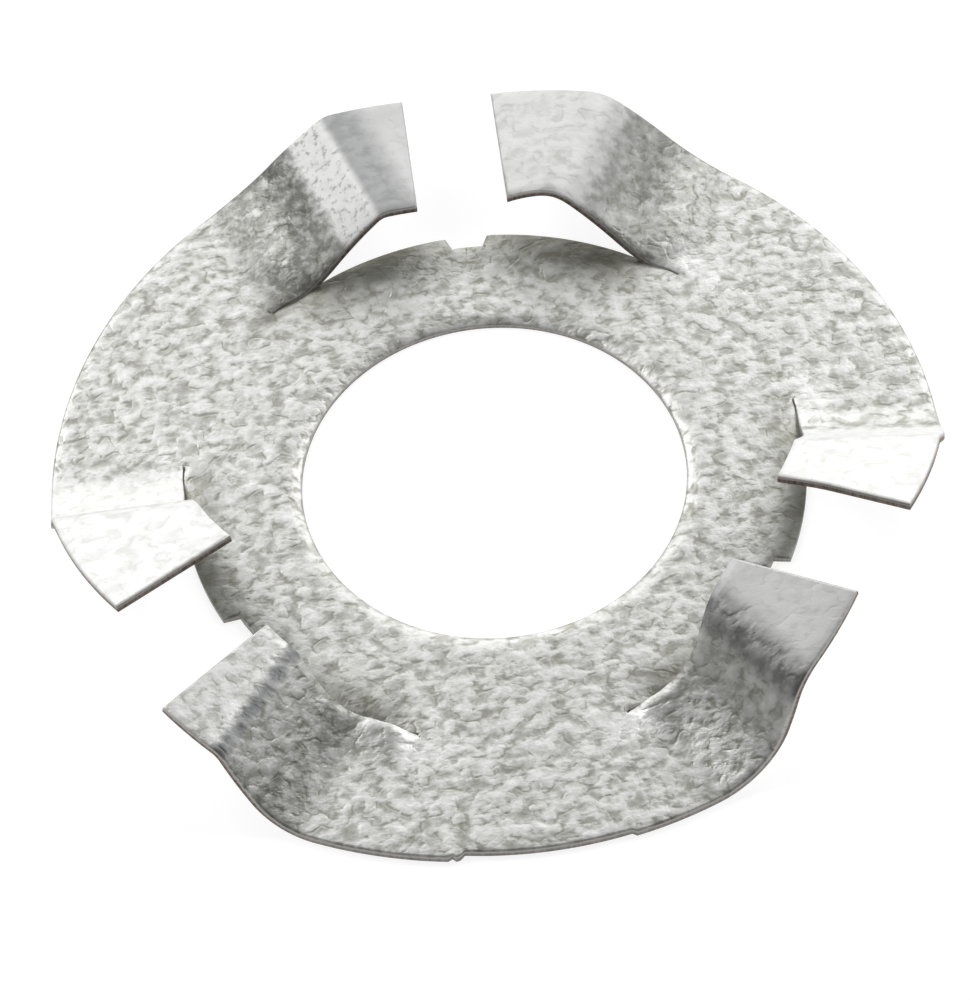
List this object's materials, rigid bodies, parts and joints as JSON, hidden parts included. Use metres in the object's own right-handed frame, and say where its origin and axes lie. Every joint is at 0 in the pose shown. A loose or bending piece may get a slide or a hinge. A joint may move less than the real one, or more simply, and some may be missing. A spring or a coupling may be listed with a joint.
{
  "type": "finger spring washer",
  "caption": "Flat stamped washer with a round bore and outer arms whose slit fingers are bent up and back into level tips, so that it presses softly on the part above it.",
  "frame": {"origin": "centre of the bore on the underside of the flat ring", "axes": "+Z along the bore axis towards the raised fingers, -Y towards the viewer of the picture, +X to the right"},
  "size_m": [0.0509, 0.0509, 0.0082],
  "materials": {
    "strip": "matte zinc coating with a fine mottled grain, and bare brown sheared edges"
  },
  "bodies": {
    "root": {"spring_washer": "strip"}
  },
  "joints": []
}
